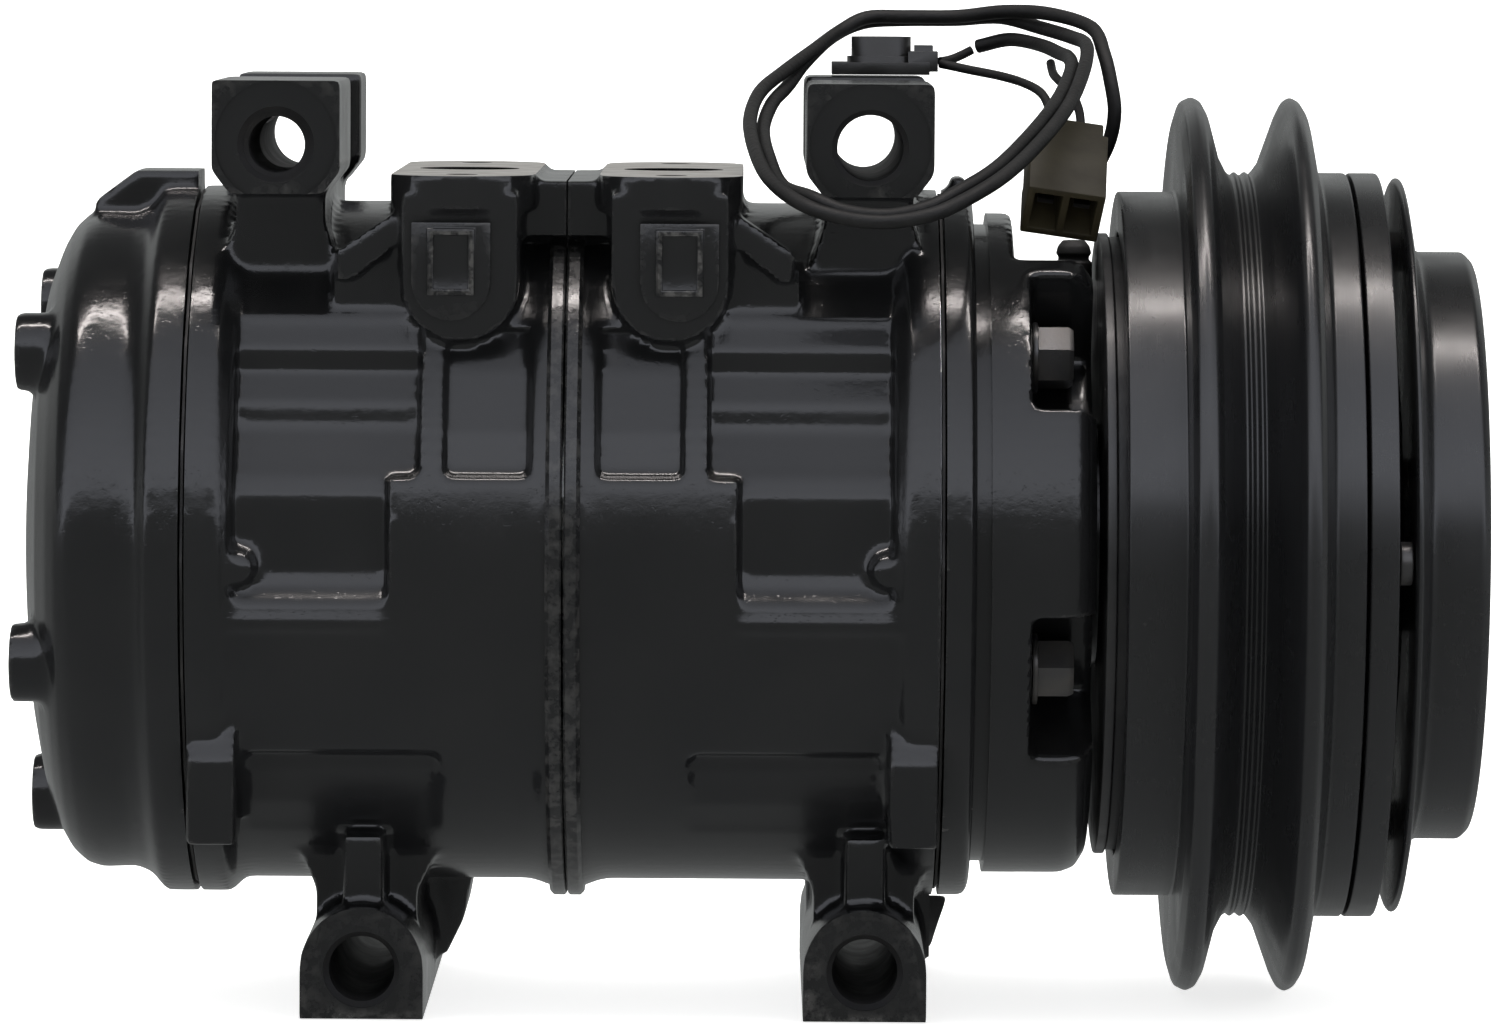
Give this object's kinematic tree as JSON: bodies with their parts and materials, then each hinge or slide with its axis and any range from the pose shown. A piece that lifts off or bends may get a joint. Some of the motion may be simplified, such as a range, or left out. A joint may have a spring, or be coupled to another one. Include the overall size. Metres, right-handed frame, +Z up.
{
  "type": "automotive air conditioning compressor",
  "caption": "Swash-plate refrigerant compressor with double-ended pistons, mounting ears, a port pad and a single-groove electromagnetic clutch pulley.",
  "frame": {"origin": "on the ground plane, under the middle of the compressor's bounding box without its leads", "axes": "+X along the shaft towards the clutch; -Y towards the ears' machined bolt faces; +Z up towards the ports"},
  "size_m": [0.2312, 0.144, 0.1585],
  "materials": {
    "casing_paint": "gloss",
    "clutch_paint": "satin",
    "bare_aluminium": "satin",
    "bare_steel": "satin",
    "zinc_steel": "satin",
    "black_rubber": "matte",
    "black_plastic": "satin",
    "olive_plastic": "satin",
    "black_sleeve": "matte"
  },
  "bodies": {
    "casing": {"rear_head": "casing_paint", "rear_cylinder_block": "casing_paint", "front_cylinder_block": "casing_paint", "front_head": "casing_paint", "rear_valve_plate": "bare_steel", "front_valve_plate": "bare_steel", "rear_gasket": "black_rubber", "front_gasket": "black_rubber", "through_bolt_1": "zinc_steel", "through_bolt_2": "zinc_steel", "through_bolt_3": "zinc_steel", "through_bolt_4": "zinc_steel", "through_bolt_5": "zinc_steel", "rear_shaft_bearing": "bare_steel", "front_shaft_bearing": "bare_steel", "rear_thrust_bearing": "bare_steel", "front_thrust_bearing": "bare_steel", "shaft_seal": "black_rubber", "seal_snap_ring": "bare_steel", "field_coil": "clutch_paint", "coil_snap_ring": "bare_steel", "bearing_inner_race": "bare_steel", "pulley_snap_ring": "bare_steel", "coil_grommet": "black_rubber", "thermal_switch": "black_plastic", "connector_housing": "olive_plastic", "coil_lead": "black_sleeve", "lead_tail": "black_sleeve", "switch_lead": "black_sleeve", "branch_lead": "black_sleeve"},
    "pulley": {"pulley": "clutch_paint", "bearing_outer_race": "bare_steel"},
    "shaft": {"shaft": "bare_steel", "swash_plate": "bare_steel", "inner_hub": "bare_steel", "damper_ring": "black_rubber", "hub_nut": "zinc_steel"},
    "armature": {"armature_plate": "clutch_paint", "hub_plate": "clutch_paint", "rivet_1": "zinc_steel", "rivet_2": "zinc_steel", "rivet_3": "zinc_steel"},
    "piston_1": {"piston_1": "bare_aluminium", "shoe_front_1": "bare_steel", "shoe_rear_1": "bare_steel"},
    "piston_2": {"piston_2": "bare_aluminium", "shoe_front_2": "bare_steel", "shoe_rear_2": "bare_steel"},
    "piston_3": {"piston_3": "bare_aluminium", "shoe_front_3": "bare_steel", "shoe_rear_3": "bare_steel"},
    "piston_4": {"piston_4": "bare_aluminium", "shoe_front_4": "bare_steel", "shoe_rear_4": "bare_steel"},
    "piston_5": {"piston_5": "bare_aluminium", "shoe_front_5": "bare_steel", "shoe_rear_5": "bare_steel"}
  },
  "joints": [
    {"name": "pulley_spin", "type": "hinge", "parent": "casing", "child": "pulley", "pos_m": [0.0785, 0, 0.0722], "axis": [1, 0, 0], "continuous": true},
    {"name": "shaft_spin", "type": "hinge", "parent": "casing", "child": "shaft", "pos_m": [0, 0, 0.0722], "axis": [1, 0, 0], "continuous": true},
    {"name": "armature_pull", "type": "slide", "parent": "shaft", "child": "armature", "axis": [-1, 0, 0], "range_m": [0, 0.0004], "stiffness_N_per_m": 20000},
    {"name": "piston_1_stroke", "type": "slide", "parent": "casing", "child": "piston_1", "axis": [1, 0, 0], "range_m": [-0.01927, 0.00005]},
    {"name": "piston_2_stroke", "type": "slide", "parent": "casing", "child": "piston_2", "axis": [1, 0, 0], "range_m": [-0.01167, 0.00765]},
    {"name": "piston_3_stroke", "type": "slide", "parent": "casing", "child": "piston_3", "axis": [1, 0, 0], "range_m": [-0.00129, 0.01803]},
    {"name": "piston_4_stroke", "type": "slide", "parent": "casing", "child": "piston_4", "axis": [1, 0, 0], "range_m": [-0.00248, 0.01684]},
    {"name": "piston_5_stroke", "type": "slide", "parent": "casing", "child": "piston_5", "axis": [1, 0, 0], "range_m": [-0.01359, 0.00573]}
  ]
}
